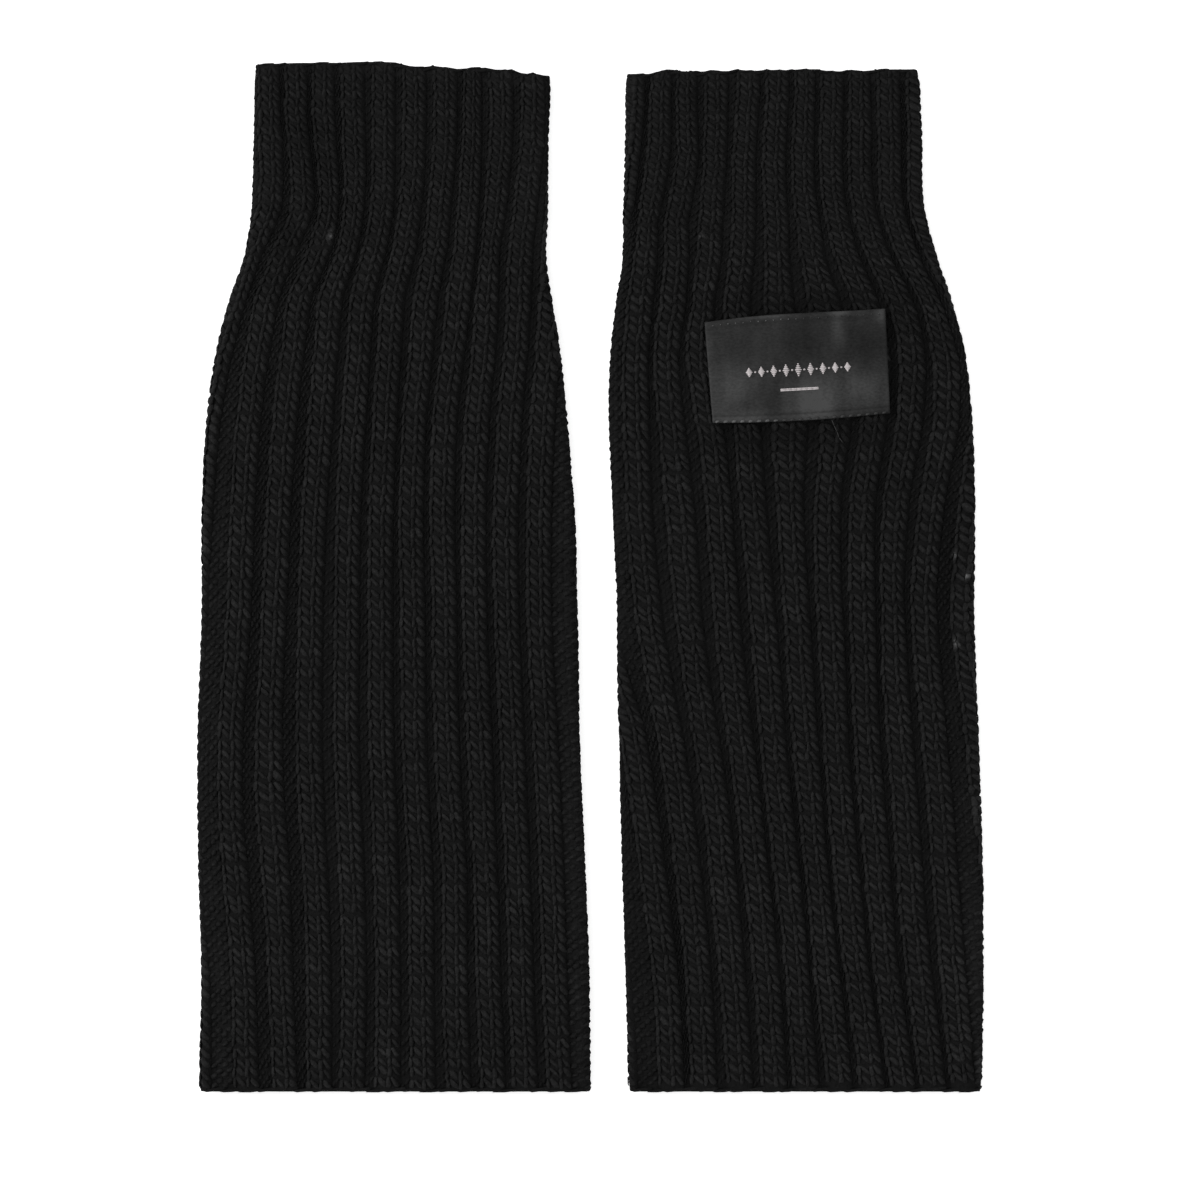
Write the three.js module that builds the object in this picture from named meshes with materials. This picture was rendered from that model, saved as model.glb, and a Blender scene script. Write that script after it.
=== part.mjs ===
// A pair of leg warmers knitted in a wide rib, laid flat side by side on a table.
// Each leg is one knitted tube: a tight cuff at the top, then a wider, looser leg down to a plain hem.
// The tube lies collapsed, its two panels on each other and its folds rounded at the sides. A satin label
// is sewn to the upper panel of the right leg. Units are millimetres, +X to the right, +Y towards the
// cuffs and +Z up. The origin is under the middle of the pair, on the table.
import * as THREE from "three";

// The cloth. The under panel rests flat, and the upper panel carries the raised ribs.
const UNDER_WALL = 3.2;
const SLACK = 0.8; // between the two panels
const FURROW_WALL = 1.6; // the upper panel between two ribs
const RIB_RISE = 2.2; // from a furrow to the top of a rib
const FOLD_WALL = 3.2; // at the side folds
const RIBS = 22; // round one leg
const FRONT_RIBS = 9; // between the first and the last furrow that the tables place
const UNDER_RIBS = [13, 18]; // the first and the last rib that lies underneath all the way down

// The hems, where the knitting is cast on and off.
const HEM_ROUND = 1.8; // how far from the edge the cloth starts to round off
const HEM_PINCH = 0.25; // share of the thickness that the rounding takes away
const HEM_SCALLOP = 0.9; // how far a furrow draws the edge in
const CUFF_LENGTH = 70; // the slant of the top edge has died away by the end of the cuff

// The spacing of the sections along a leg, and of the points round the plain inside.
const SECTION_STEP = 12.5;
const INNER_STEP = 38;
const INNER_POINTS = 12; // on each panel

// Distances down a leg from its top edge, and distances across from the middle of the pair.
// left and right are the side folds, first and last the furrows at the ends of the front, bow moves the
// furrows between them to the right, fan spreads them from the middle, and rib is the width of a rib.
const LEFT_LEG = {
  name: "left_leg_tube",
  hem: { left: 0, middle: -1.5, right: 4 }, // how far the top edge drops
  sections: [
    { down: 0, left: -124.9, right: -14.2, first: -114.0, last: -16.4, bow: -0.4, fan: 0, rib: 7.2 },
    { down: 24, left: -125.1, right: -15.2, first: -114.0, last: -16.4, bow: -0.4, fan: 0, rib: 7.2 },
    { down: 55, left: -126.4, right: -15.5, first: -116.0, last: -18.1, bow: 0, fan: 0, rib: 7.3 },
    { down: 70, left: -128.4, right: -16.2, first: -120.0, last: -19.0, bow: 0.2, fan: 0, rib: 7.6 },
    { down: 87, left: -134.2, right: -14.1, first: -124.7, last: -19.6, bow: 0.6, fan: 0, rib: 8.2 },
    { down: 105, left: -138.7, right: -10.7, first: -129.3, last: -21.5, bow: 1.8, fan: 0, rib: 8.6 },
    { down: 128, left: -142.1, right: -8.2, first: -133.2, last: -23.5, bow: 2.8, fan: 0, rib: 8.9 },
    { down: 161, left: -143.9, right: -5.6, first: -135.8, last: -25.2, bow: 3.2, fan: 0, rib: 8.9 },
    { down: 205, left: -144.3, right: -4.4, first: -138.0, last: -25.2, bow: 4.0, fan: 0, rib: 8.9 },
    { down: 250, left: -145.8, right: -3.3, first: -140.4, last: -22.9, bow: 4.2, fan: 0, rib: 8.9 },
    { down: 294, left: -145.5, right: -1.4, first: -139.1, last: -21.1, bow: 4.2, fan: 0, rib: 8.9 },
    { down: 338, left: -144.3, right: 0.3, first: -135.3, last: -19.6, bow: 2.6, fan: 0, rib: 8.9 },
    { down: 379, left: -145.1, right: 0.8, first: -134.2, last: -18.2, bow: 1.7, fan: 0, rib: 8.9 },
  ],
};
const RIGHT_LEG = {
  name: "right_leg_tube",
  hem: { left: 3.8, middle: 1.7, right: 2.4 },
  sections: [
    { down: 0, left: 12.2, right: 121.4, first: 20.0, last: 115.8, bow: 0, fan: 0, rib: 7.2 },
    { down: 24, left: 12.2, right: 122.5, first: 19.2, last: 116.2, bow: 0, fan: 0, rib: 7.2 },
    { down: 55, left: 11.5, right: 124.0, first: 16.7, last: 117.0, bow: 0.9, fan: 0, rib: 7.3 },
    { down: 70, left: 11.1, right: 127.8, first: 15.2, last: 121.6, bow: 0.6, fan: 1.0, rib: 7.6 },
    { down: 87, left: 8.5, right: 133.6, first: 12.6, last: 129.5, bow: 0, fan: 3.6, rib: 8.2 },
    { down: 105, left: 6.4, right: 138.3, first: 10.9, last: 134.8, bow: 0, fan: 4.4, rib: 8.6 },
    { down: 128, left: 5.7, right: 141.0, first: 10.4, last: 137.0, bow: 0, fan: 3.0, rib: 8.9 },
    { down: 161, left: 7.0, right: 142.1, first: 10.7, last: 133.6, bow: 1.5, fan: 0, rib: 8.9 },
    { down: 205, left: 8.9, right: 142.1, first: 14.8, last: 131.0, bow: 3.3, fan: 0, rib: 8.9 },
    { down: 250, left: 9.7, right: 143.5, first: 23.3, last: 133.2, bow: 0.6, fan: 0, rib: 8.9 },
    { down: 294, left: 10.8, right: 145.1, first: 29.2, last: 136.5, bow: 0, fan: 0, rib: 8.9 },
    { down: 338, left: 12.3, right: 145.8, first: 33.3, last: 141.5, bow: 0.6, fan: 0, rib: 8.9 },
    { down: 379, left: 13.4, right: 145.1, first: 35.5, last: 142.8, bow: 2.2, fan: 0, rib: 8.9 },
  ],
};

// The label, a strip of woven satin with a little turn to the left.
const LABEL = {
  name: "sewn_label",
  width: 67,
  height: 38,
  thickness: 0.7,
  clear: 0.3, // above the ribs
  sag: 0.5, // into the furrows
  across: 75.9, // its middle
  down: 112.3,
  turn: THREE.MathUtils.degToRad(4.2),
  columns: 34,
  rows: 5,
};

const KNIT = { color: 0x1a1a1a, roughness: 0.95, metalness: 0 };
const SATIN = { color: 0x343636, roughness: 0.5, metalness: 0 };

const FOLD_RADIUS = (UNDER_WALL + SLACK + FURROW_WALL) / 2; // of the furrows' surface at a side fold
const COLUMNS = ["left", "right", "first", "last", "bow", "fan", "rib"];

// The share of its rise that a rib keeps as it runs round a side fold, from 1 on top to 0 underneath.
const keptRise = (turned) => (1 + Math.cos(turned)) / 2;

// The height of a rib, as a share of its rise, across its width from -0.5 to 0.5.
const RIB_POINTS = [-0.5, -0.34, 0, 0.34, 0.5];
const ribProfile = (across) => Math.max(0, Math.cos(across * Math.PI)) ** 0.35;

// A function of the distance down a leg that gives the columns of its table there, on smooth curves.
function sectionsOf(leg) {
  const downs = leg.sections.map((row) => row.down);
  const values = leg.sections.flatMap((row) => COLUMNS.map((column) => row[column]));
  const curve = new THREE.CubicInterpolant(downs, values, COLUMNS.length, new Array(COLUMNS.length));
  return (down) => {
    const found = curve.evaluate(down);
    const section = Object.fromEntries(COLUMNS.map((column, i) => [column, found[i]]));
    section.down = down;
    section.middle = (section.left + section.right) / 2;
    const edge = FOLD_RADIUS + RIB_RISE * keptRise(Math.PI / 2);
    section.flat = (section.right - section.left) / 2 - edge; // half the flat stretch of a panel
    section.round = 4 * section.flat + 2 * Math.PI * FOLD_RADIUS; // all the way round
    return section;
  };
}

// Where furrow k lies, measured along the cloth from the middle of the upper panel.
function furrowAt(section, k) {
  if (k > FRONT_RIBS) {
    const behind = (section.round - (section.last - section.first)) / (RIBS - FRONT_RIBS);
    return section.last - section.middle + (k - FRONT_RIBS) * behind;
  }
  const share = k / FRONT_RIBS;
  const even = THREE.MathUtils.lerp(section.first, section.last, share);
  const bowed = even + section.bow * 4 * share * (1 - share);
  return bowed - section.fan * Math.sin(2 * Math.PI * share) - section.middle;
}
const ribAt = (section, k) => (furrowAt(section, k) + furrowAt(section, k + 1)) / 2;

// A point of the outside, at a distance along the cloth from the middle of the upper panel and a rise
// above its furrows. The underside stays flat.
function outsideAt(section, along, rise) {
  const { flat, round, middle } = section;
  const from = THREE.MathUtils.euclideanModulo(along + round / 2, round) - round / 2;
  const past = Math.max(0, Math.abs(from) - flat);
  const turned = Math.min(past / FOLD_RADIUS, Math.PI);
  const under = Math.max(0, past - Math.PI * FOLD_RADIUS);
  const radius = FOLD_RADIUS + rise * keptRise(turned);
  const out = Math.min(Math.abs(from), flat) - under + radius * Math.sin(turned);
  return { x: middle + Math.sign(from) * out, z: FOLD_RADIUS + radius * Math.cos(turned) };
}

// The points round the outside of a section. A rib that always lies underneath has one point.
function outsideOf(section) {
  const points = [];
  for (let k = 0; k < RIBS; k++) {
    const raised = k < UNDER_RIBS[0] || k > UNDER_RIBS[1];
    for (const across of raised ? RIB_POINTS : [0]) {
      const height = raised ? ribProfile(across) : 0;
      const point = outsideAt(section, ribAt(section, k) + across * section.rib, height * RIB_RISE);
      points.push({ ...point, scallop: raised && height < 0.5 ? HEM_SCALLOP : 0 });
    }
  }
  return points;
}

// The points round the plain inside of a section, where the panels lie on each other.
function insideOf(section) {
  const half = section.flat + FOLD_RADIUS - FOLD_WALL;
  const points = [];
  for (const [z, side] of [
    [UNDER_WALL + SLACK, 1],
    [UNDER_WALL, -1],
  ])
    for (let i = 0; i < INNER_POINTS; i++) {
      const share = i / (INNER_POINTS - 1);
      points.push({ x: section.middle + side * half * (2 * share - 1), z, scallop: 0 });
    }
  return points;
}

// How far the top edge drops at a place across the leg, on a parabola through three heights.
function dropAt(leg, section, x) {
  const t = (x - section.left) / (section.right - section.left);
  const { left, middle, right } = leg.hem;
  return left * (1 - t) * (1 - 2 * t) + middle * 4 * t * (1 - t) + right * t * (2 * t - 1);
}

// Places one section's points. Near a hem they close in on the middle of the cloth.
function placed(leg, section, points) {
  const length = leg.sections.at(-1).down;
  const fromHem = Math.min(section.down, length - section.down);
  const pinch = HEM_PINCH * (1 - THREE.MathUtils.smoothstep(fromHem, 0, HEM_ROUND));
  const centre = UNDER_WALL + SLACK / 2;
  const inwards = section.down < length / 2 ? 1 : -1;
  const nearness = Math.max(0, 1 - fromHem / HEM_ROUND);
  const slant = Math.max(0, 1 - section.down / CUFF_LENGTH);
  return points.map(({ x, z, scallop }) => {
    const down = section.down + inwards * scallop * nearness + slant * dropAt(leg, section, x);
    return [x, -down, THREE.MathUtils.lerp(z, centre, pinch)];
  });
}

// Distances down a leg: the rounding of each hem, and even steps between.
function downsOf(length, step) {
  const plain = length - 2 * HEM_ROUND;
  const count = Math.round(plain / step);
  const even = Array.from({ length: count + 1 }, (_, i) => HEM_ROUND + (plain * i) / count);
  return [0, ...even, length];
}

// Adds the rings of a skin and the faces between them. The inside is turned to face in.
function skin(leg, points, faces, { downs, ringOf, turned }) {
  const sectionAt = sectionsOf(leg);
  const rings = downs.map((down) => {
    const section = sectionAt(down);
    const start = points.length;
    points.push(...placed(leg, section, ringOf(section)));
    return start;
  });
  const count = points.length - rings.at(-1);
  for (let ring = 1; ring < rings.length; ring++)
    for (let i = 0; i < count; i++) {
      const next = (i + 1) % count;
      const [upper, lower] = [rings[ring - 1], rings[ring]];
      const quad = [upper + i, lower + i, lower + next, upper + next];
      if (turned) quad.reverse();
      faces.push([quad[0], quad[1], quad[2]], [quad[0], quad[2], quad[3]]);
    }
  return { first: rings[0], last: rings.at(-1), count };
}

// The rim that joins a ring of the outside to one of the inside at a hem. facing is 1 for +Y.
function rim(points, faces, outer, inner, count, facing) {
  const flat = (start, length) =>
    Array.from({ length }, (_, i) => new THREE.Vector2(points[start + i][0], points[start + i][2]));
  const contour = flat(outer, count.outer);
  const hole = flat(inner, count.inner);
  const corners = [...contour, ...hole];
  const indexOf = (i) => (i < count.outer ? outer + i : inner + i - count.outer);
  for (const [a, b, c] of THREE.ShapeUtils.triangulateShape(contour, [hole])) {
    const turn = corners[b].clone().sub(corners[a]).cross(corners[c].clone().sub(corners[a]));
    const face = [indexOf(a), indexOf(b), indexOf(c)];
    const facesDown = turn > 0; // a turn from +X towards +Z faces -Y
    faces.push(facesDown === facing < 0 ? face : face.reverse());
  }
}

function meshOf(name, points, faces, look) {
  const geometry = new THREE.BufferGeometry();
  geometry.setAttribute("position", new THREE.Float32BufferAttribute(points.flat(), 3));
  geometry.setIndex(faces.flat());
  geometry.computeVertexNormals();
  const mesh = new THREE.Mesh(geometry, new THREE.MeshStandardMaterial(look));
  mesh.name = name;
  return mesh;
}

// One leg: the ribbed outside, the plain inside and the two hems.
function legTube(leg) {
  const length = leg.sections.at(-1).down;
  const points = [];
  const faces = [];
  const outer = skin(leg, points, faces, { downs: downsOf(length, SECTION_STEP), ringOf: outsideOf });
  const inner = skin(leg, points, faces, { downs: downsOf(length, INNER_STEP), ringOf: insideOf, turned: true });
  const count = { outer: outer.count, inner: inner.count };
  rim(points, faces, outer.first, inner.first, count, 1);
  rim(points, faces, outer.last, inner.last, count, -1);
  return meshOf(leg.name, points, faces, KNIT);
}

// The height of the upper panel above its furrows, across the ribs.
function riseAt(section, along) {
  for (let k = 0; k < FRONT_RIBS; k++) {
    const across = (along - ribAt(section, k)) / section.rib;
    if (Math.abs(across) < 0.5) return RIB_RISE * ribProfile(across);
  }
  return 0;
}

// The label is made from the panel's points, moved out, and sags a little into the furrows.
function label(leg) {
  const { width, height, thickness, clear, sag, across, down, turn, columns, rows } = LABEL;
  const sectionAt = sectionsOf(leg);
  const points = [];
  for (const lift of [0, thickness])
    for (let row = 0; row <= rows; row++)
      for (let column = 0; column <= columns; column++) {
        const spot = new THREE.Vector2((column / columns - 0.5) * width, (0.5 - row / rows) * height);
        spot.rotateAround(new THREE.Vector2(), turn);
        const section = sectionAt(down - spot.y);
        const x = across + spot.x;
        const rise = Math.max(riseAt(section, x - section.middle), RIB_RISE - sag);
        points.push([x, spot.y - down, 2 * FOLD_RADIUS + rise + clear + lift]);
      }
  const line = columns + 1;
  const layer = line * (rows + 1);
  const faces = [];
  const quad = (a, b, c, d) => faces.push([a, b, c], [a, c, d]);
  for (let row = 0; row < rows; row++)
    for (let column = 0; column < columns; column++) {
      const a = row * line + column;
      quad(a, a + 1, a + line + 1, a + line);
      quad(layer + a, layer + a + line, layer + a + line + 1, layer + a + 1);
    }
  for (let column = 0; column < columns; column++) {
    const bottom = rows * line + column;
    quad(column, layer + column, layer + column + 1, column + 1);
    quad(bottom, bottom + 1, layer + bottom + 1, layer + bottom);
  }
  for (let row = 0; row < rows; row++) {
    const left = row * line;
    const right = left + columns;
    quad(left, left + line, layer + left + line, layer + left);
    quad(right, layer + right, layer + right + line, right + line);
  }
  return meshOf(LABEL.name, points, faces, SATIN);
}

const pair = new THREE.Group();
pair.add(legTube(LEFT_LEG), legTube(RIGHT_LEG), label(RIGHT_LEG));

// The origin goes under the middle of the pair.
const middle = new THREE.Box3().setFromObject(pair).getCenter(new THREE.Vector3());
pair.position.set(-middle.x, -middle.y, 0);

export default pair;
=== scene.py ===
# A pair of black leg warmers in a wide rib, laid flat and seen from straight above. Each leg is a knitted
# tube: a thin wall with ribs, and over it the strands of yarn of every stitch.
import math

import bmesh
import bpy
import numpy as np
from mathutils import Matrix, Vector


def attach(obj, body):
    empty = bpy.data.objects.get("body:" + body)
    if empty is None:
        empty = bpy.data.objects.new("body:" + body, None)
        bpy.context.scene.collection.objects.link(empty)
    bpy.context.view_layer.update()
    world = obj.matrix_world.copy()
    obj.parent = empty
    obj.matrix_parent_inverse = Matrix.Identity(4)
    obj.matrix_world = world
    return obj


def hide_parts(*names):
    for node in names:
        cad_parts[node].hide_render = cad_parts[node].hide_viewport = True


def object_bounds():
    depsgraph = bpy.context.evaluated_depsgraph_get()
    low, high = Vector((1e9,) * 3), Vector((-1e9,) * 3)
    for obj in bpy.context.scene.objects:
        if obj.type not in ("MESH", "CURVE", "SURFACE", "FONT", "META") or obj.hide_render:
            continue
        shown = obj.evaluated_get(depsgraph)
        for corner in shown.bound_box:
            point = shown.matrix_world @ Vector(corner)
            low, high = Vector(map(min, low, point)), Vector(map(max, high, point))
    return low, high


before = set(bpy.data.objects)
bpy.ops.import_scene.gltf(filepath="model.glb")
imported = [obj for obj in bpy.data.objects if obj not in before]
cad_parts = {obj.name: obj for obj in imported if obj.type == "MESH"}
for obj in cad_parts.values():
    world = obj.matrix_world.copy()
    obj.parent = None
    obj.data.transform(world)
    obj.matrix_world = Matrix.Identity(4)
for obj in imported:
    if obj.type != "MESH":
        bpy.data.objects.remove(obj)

CAD_BOX = [list(corner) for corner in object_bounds()]

# Sizes are in millimetres. Places are across from the middle of the pair and down from the left cuff's
# edge, and the last step of each piece puts them into the frame, in metres.
MM = 0.001
UNDER_WALL = 3.2  # of the lower panel
SLACK = 0.8  # between the two panels
FURROW_WALL = 1.6  # of the upper panel, in its furrows
FOLD_WALL = 3.0
FOLD_RADIUS = (UNDER_WALL + SLACK + FURROW_WALL) / 2
FOLD_STAND = 1.1  # how far the knit stands out past that radius
FOLD_FILL = 1.1  # the share of a rib's height that the knit evens out to at the folds
FOLD_EVEN = 0.7  # and how far it does
FOLD_SINK = 0.55  # how much less the stitches stand out there
EDGE = FOLD_RADIUS + FOLD_STAND
RIBS = 22
FRONT_RIBS = 9
RIB_RISE = 1.5  # of the wall, below the stitches
RIB_SQUARE = 0.4  # 1 gives a rib a round top, and less a flatter one
UNDER_RISE = 1.0  # of the ribs underneath, which are pressed flat
PRESSED = 0.7  # how far the stitches underneath stand out of the wall
RIB_WIDTH = 8.9  # these three are the sizes that the strands are drawn for
FURROW_WIDTH = 4.0
ROW_HEIGHT = 3.77
FURROW_LEAST = 1.7  # below which the ribs beside it are squeezed
FURROW_MOST = 4.9  # past which they are stretched
FURROW_FLOOR = 1.0  # what is left between two ribs at the least
STRIP_COLUMNS = 2  # of stitches in the strip that shows in an opened furrow
CUFF_LENGTH = 70
CUFF_HOLD = 0.7  # the share of its length over which the cuff is at its tightest
CUFF_GIVE = 0.6  # and the share over which it then loosens
HEM_ROUND = 3.0
HEM_PINCH = 0.3  # how far the two panels draw together at the hems
HEM_STEPS = (0, 0.3, 0.8, 1.6, HEM_ROUND)
HEM_EASE = 7.0  # over which the ribs rise from the flat of the cuff's edge
LOW_EASE = 2.5  # and from the flat of the lower hem
HEM_RELIEF = 0.4  # the share of the relief that is left at the edges
SCALLOP_DEPTH = 9.0  # how far down the waves of the top edge reach
TABLE_GAP = 0.02

# Each leg's table of sections gives its two outlines, where its first and last front furrows lie, how far
# the ones between bow and fan out, the width of a rib and the height of a row. Furrows that the folds open,
# or that are painted lighter than the rest, have a table each: how far down, how much wider, and how much
# of the furrows' painted shade is lifted, from 0 to 1.
COLUMNS = ("down", "left", "right", "first", "last", "bow", "fan", "rib", "row")
LEFT_LEG = {
    "name": "left_leg",
    "node": "left_leg_tube",
    "hem": (0.0, -0.3, 4.0),
    "scallops": [
        (-125, 0.1), (-108, 0), (-93, 0.1), (-83, -0.4), (-72, -0.4), (-67, 0.8), (-61, 1.0),
        (-58.5, 0.1), (-56.5, 0.8), (-54, 0.4), (-49.5, 0.9), (-44, 0.2), (-39, -0.4), (-35, 0.1),
        (-29, -0.5), (-26.5, 0.6), (-24.4, 0.8), (-21.5, 0), (-17.4, 0.4), (-14, 0),
    ],
    "openings": {
        0: [(0, 0, 0.8), (50, 0, 1), (80, 0, 1), (110, 1.5, 0.8), (140, 2.3, 0.8), (290, 2.3, 0.8),
            (315, 3.5, 0.9), (379, 4.0, 0.9)],
        1: [(0, 0, 0.8), (50, 0, 1), (85, 0, 1), (110, 0, 0.6), (150, 0, 0)],
        2: [(0, 0, 0.6), (50, 0, 0.9), (85, 0, 0.9), (105, 0, 0.5), (130, 0, 0)],
        10: [(70, 0, 0.3), (90, 1.0, 0.6), (110, 3.4, 0.8), (130, 5.4, 0.9), (150, 6.0, 1), (379, 6.0, 1)],
    },
    "sections": [
        (0, -124.9, -14.2, -114.0, -16.4, -0.4, 0, 8.7, 3.18),
        (24, -125.1, -15.2, -114.0, -16.4, -0.4, 0, 8.7, 3.18),
        (55, -126.4, -15.5, -116.0, -18.1, 0, 0, 8.8, 3.18),
        (70, -128.4, -16.2, -120.0, -19.0, 0.2, 0, 9.0, 3.30),
        (87, -134.2, -14.1, -124.7, -19.6, 0.6, 0, 9.2, 3.60),
        (105, -138.7, -10.7, -129.3, -21.5, 1.8, 0, 8.9, 3.77),
        (128, -142.1, -8.2, -133.2, -23.5, 2.8, 0, 9.2, 3.77),
        (161, -143.9, -5.6, -135.8, -25.2, 3.2, 0, 9.2, 3.77),
        (205, -144.3, -4.4, -138.0, -25.2, 4.0, 0, 9.2, 3.77),
        (250, -145.8, -3.3, -140.4, -22.9, 4.2, 0, 9.2, 3.77),
        (294, -145.5, -1.4, -139.1, -21.1, 4.2, 0, 9.2, 3.77),
        (338, -144.3, 0.3, -135.3, -19.6, 2.6, 0, 9.2, 3.77),
        (379, -145.1, 0.8, -134.2, -18.2, 1.7, 0, 9.2, 3.77),
    ],
    "strays": [
        (20, (0, -0.5, -1, -0.5, 0, 1, 1, -1, 0.5, 0)),
        (53, (4, 4, 1.5, 0.5, 0.5, -0.5, 0.5, -1, -1.5, 0)),
        (68, (0, 3, 2.5, 1, 0, 0, 1, -0.5, -2.5, -0.5)),
        (86, (-1, -1.2, -0.8, -1.5, -1.5, -2, -0.5, -1, -2.2, -0.8)),
        (105, (0, 0.5, 0.7, 0, -0.3, -1, -0.8, -0.8, -1.2, 0)),
        (130, (0.3, 1, 1, 1, 0.5, -1, -2, -2, -1.5, 0)),
        (170, (1.3, 0.5, 0.5, 0.5, 0.5, -0.7, -1.2, -1.5, -1.2, 0)),
        (200, (1.5, 0.3, 0, 0, 0.5, -0.5, -0.5, -1, -1, 0)),
        (250, (0.6, -0.4, 0, 0.7, 0.5, -0.2, -0.9, -1, -1, 0)),
        (270, (0.3, -1, 0, 1, 0.5, 0, -1, -1, -1, 0)),
        (300, (0.6, 0, 1.5, 1, 0.5, 0, 0, 0, -1, 0)),
        (340, (0, 0, 0.5, 0.5, 0.5, -0.5, -0.5, -0.5, -0.5, 0)),
        (379, (0, 1, 1, -0.5, -1, -0.5, 0, 0.5, 0.5, 0)),
    ],
}
RIGHT_LEG = {
    "name": "right_leg",
    "node": "right_leg_tube",
    "hem": (3.5, 2.1, 1.75),
    "scallops": [
        (13, 0), (22.6, 0.3), (25.5, -0.7), (27.5, -1.2), (30.5, -1.0), (33.7, -0.3), (41.4, 0), (45, -0.7),
        (47.7, 0), (50.7, 0), (54, -0.5), (58, 0), (62, 0.1), (65, -0.4), (67.3, 0.1), (69.6, -0.3),
        (72, 0.2), (75, -0.1), (83.6, -0.2), (86, 0.4), (92.4, 0.8), (95.5, 0.1), (101, 0.7), (105.6, 0.1),
        (121, 0),
    ],
    "openings": {
        0: [(50, 0, 0), (66, 2.0, 0.4), (85, 4.0, 0.8), (170, 4.2, 0.9), (205, 4.0, 0.8), (225, 3.0, 0.5),
            (245, 1.2, 0.4), (290, 0.5, 0.1), (379, 0, 0)],
        9: [(60, 0, 0), (75, 0.8, 0.8), (110, 0.8, 0.7), (130, 1.5, 0.5), (165, 1.8, 0.2), (205, 1.8, 0.2),
            (235, 3.3, 0.4), (262, 3.6, 0.5), (285, 5.0, 0.6), (310, 6.5, 1), (379, 6.5, 1)],
        21: [(262, 0, 0), (285, 2.6, 0.4), (310, 5.2, 0.5), (379, 6.0, 0.5)],
    },
    "sections": [
        (0, 12.2, 121.4, 20.0, 115.8, 0, 0, 8.7, 3.07),
        (24, 12.2, 122.5, 19.2, 116.2, 0, 0, 8.7, 3.07),
        (55, 11.5, 124.0, 16.7, 117.0, 0.9, 0, 8.9, 3.07),
        (70, 11.1, 127.8, 15.2, 121.6, 0.6, 1.0, 9.2, 3.20),
        (87, 8.5, 133.6, 12.6, 129.5, 0, 3.6, 9.8, 3.50),
        (105, 6.4, 138.3, 10.9, 134.8, 0, 4.4, 9.9, 3.70),
        (128, 5.7, 141.0, 10.4, 137.0, 0, 3.0, 9.8, 3.70),
        (161, 7.0, 142.1, 10.7, 133.6, 1.5, 0, 9.7, 3.70),
        (205, 8.9, 142.1, 14.8, 131.0, 3.3, 0, 9.7, 3.70),
        (250, 9.7, 143.5, 23.3, 133.2, 0.6, 0, 9.7, 3.70),
        (294, 10.8, 145.1, 29.2, 136.5, 0, 0, 9.7, 3.70),
        (338, 12.3, 145.8, 33.3, 140.2, 0.6, 0, 9.7, 3.70),
        (379, 13.4, 145.1, 35.5, 142.8, 2.2, 0, 9.7, 3.70),
    ],
    "strays": [
        (10, (1, 0, -1, 0.5, 1, 1, -0.5, 0, -1.5, -0.5)),
        (32, (0, 1.5, 0, -0.5, 0, -0.5, -0.5, -1, -1, 0)),
        (58, (0, -2.5, -2.5, 0, 0, 1, 1, 0.5, 0.5, 0)),
        (88, (0, 0.5, 2, -2, -2.5, -1.5, 0.5, 0.5, 1.5, 0)),
        (110, (0, 0, -1, -2, -1, 0, 1, 0, 0.5, 1)),
        (138, (0, 0, 1, 0.5, -1.5, 0.5, 1.5, -1.5, -0.5, 0.5)),
        (195, (-0.5, -0.5, 1, 0.5, 0, -0.5, -1, -1, -3, -2.5)),
        (230, (-1, 0, 0.5, 0.5, 0.5, 0, -1, -1.5, -2, 0)),
        (270, (-0.5, 1, 1.5, 1, 0.5, -0.5, -1, -1.5, -0.5, 0.5)),
        (330, (0, 0.5, 1.5, 1.5, 0.5, -0.5, -1.5, -2, -1.5, 0)),
        (379, (0, 0, 1, 0.5, 0, 1, 1, 0, 0.5, 0)),
    ],
}

# The main creases of each leg, as soft troughs and ridges, with painted shade in the troughs and painted
# light on
# the ridges: the middle across and down, the turn from the line of the leg, the length, the width and the
# lift.
CREASES = {
    "left_leg": [
        (-112, 62, 4, 30, 7, -0.7),
        (-100, 34, -3, 46, 11, -0.5),
        (-93, 70, 12, 24, 8, 0.4),
        (-112, 68, 70, 9, 4, -0.8),
        (-44, 80, -6, 40, 14, 0.3),
        (-70, 120, 3, 60, 22, -0.3),
        (-120, 190, -2, 70, 16, 0.35),
        (-36, 240, 4, 80, 18, -0.35),
        (-90, 300, -5, 60, 20, 0.3),
    ],
    "right_leg": [
        (75, 90, 84, 60, 9, -0.7),
        (76, 135, 86, 62, 8, -0.7),
        (132, 190, 2, 52, 6, -0.7),
        (141, 366, 8, 18, 3, -0.9),
        (137, 362, 8, 22, 3, 0.5),
        (36, 150, 2, 60, 14, 0.35),
        (60, 230, -6, 70, 16, -0.3),
        (105, 280, 4, 80, 20, 0.3),
        (30, 320, -8, 50, 12, -0.3),
    ],
}

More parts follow.
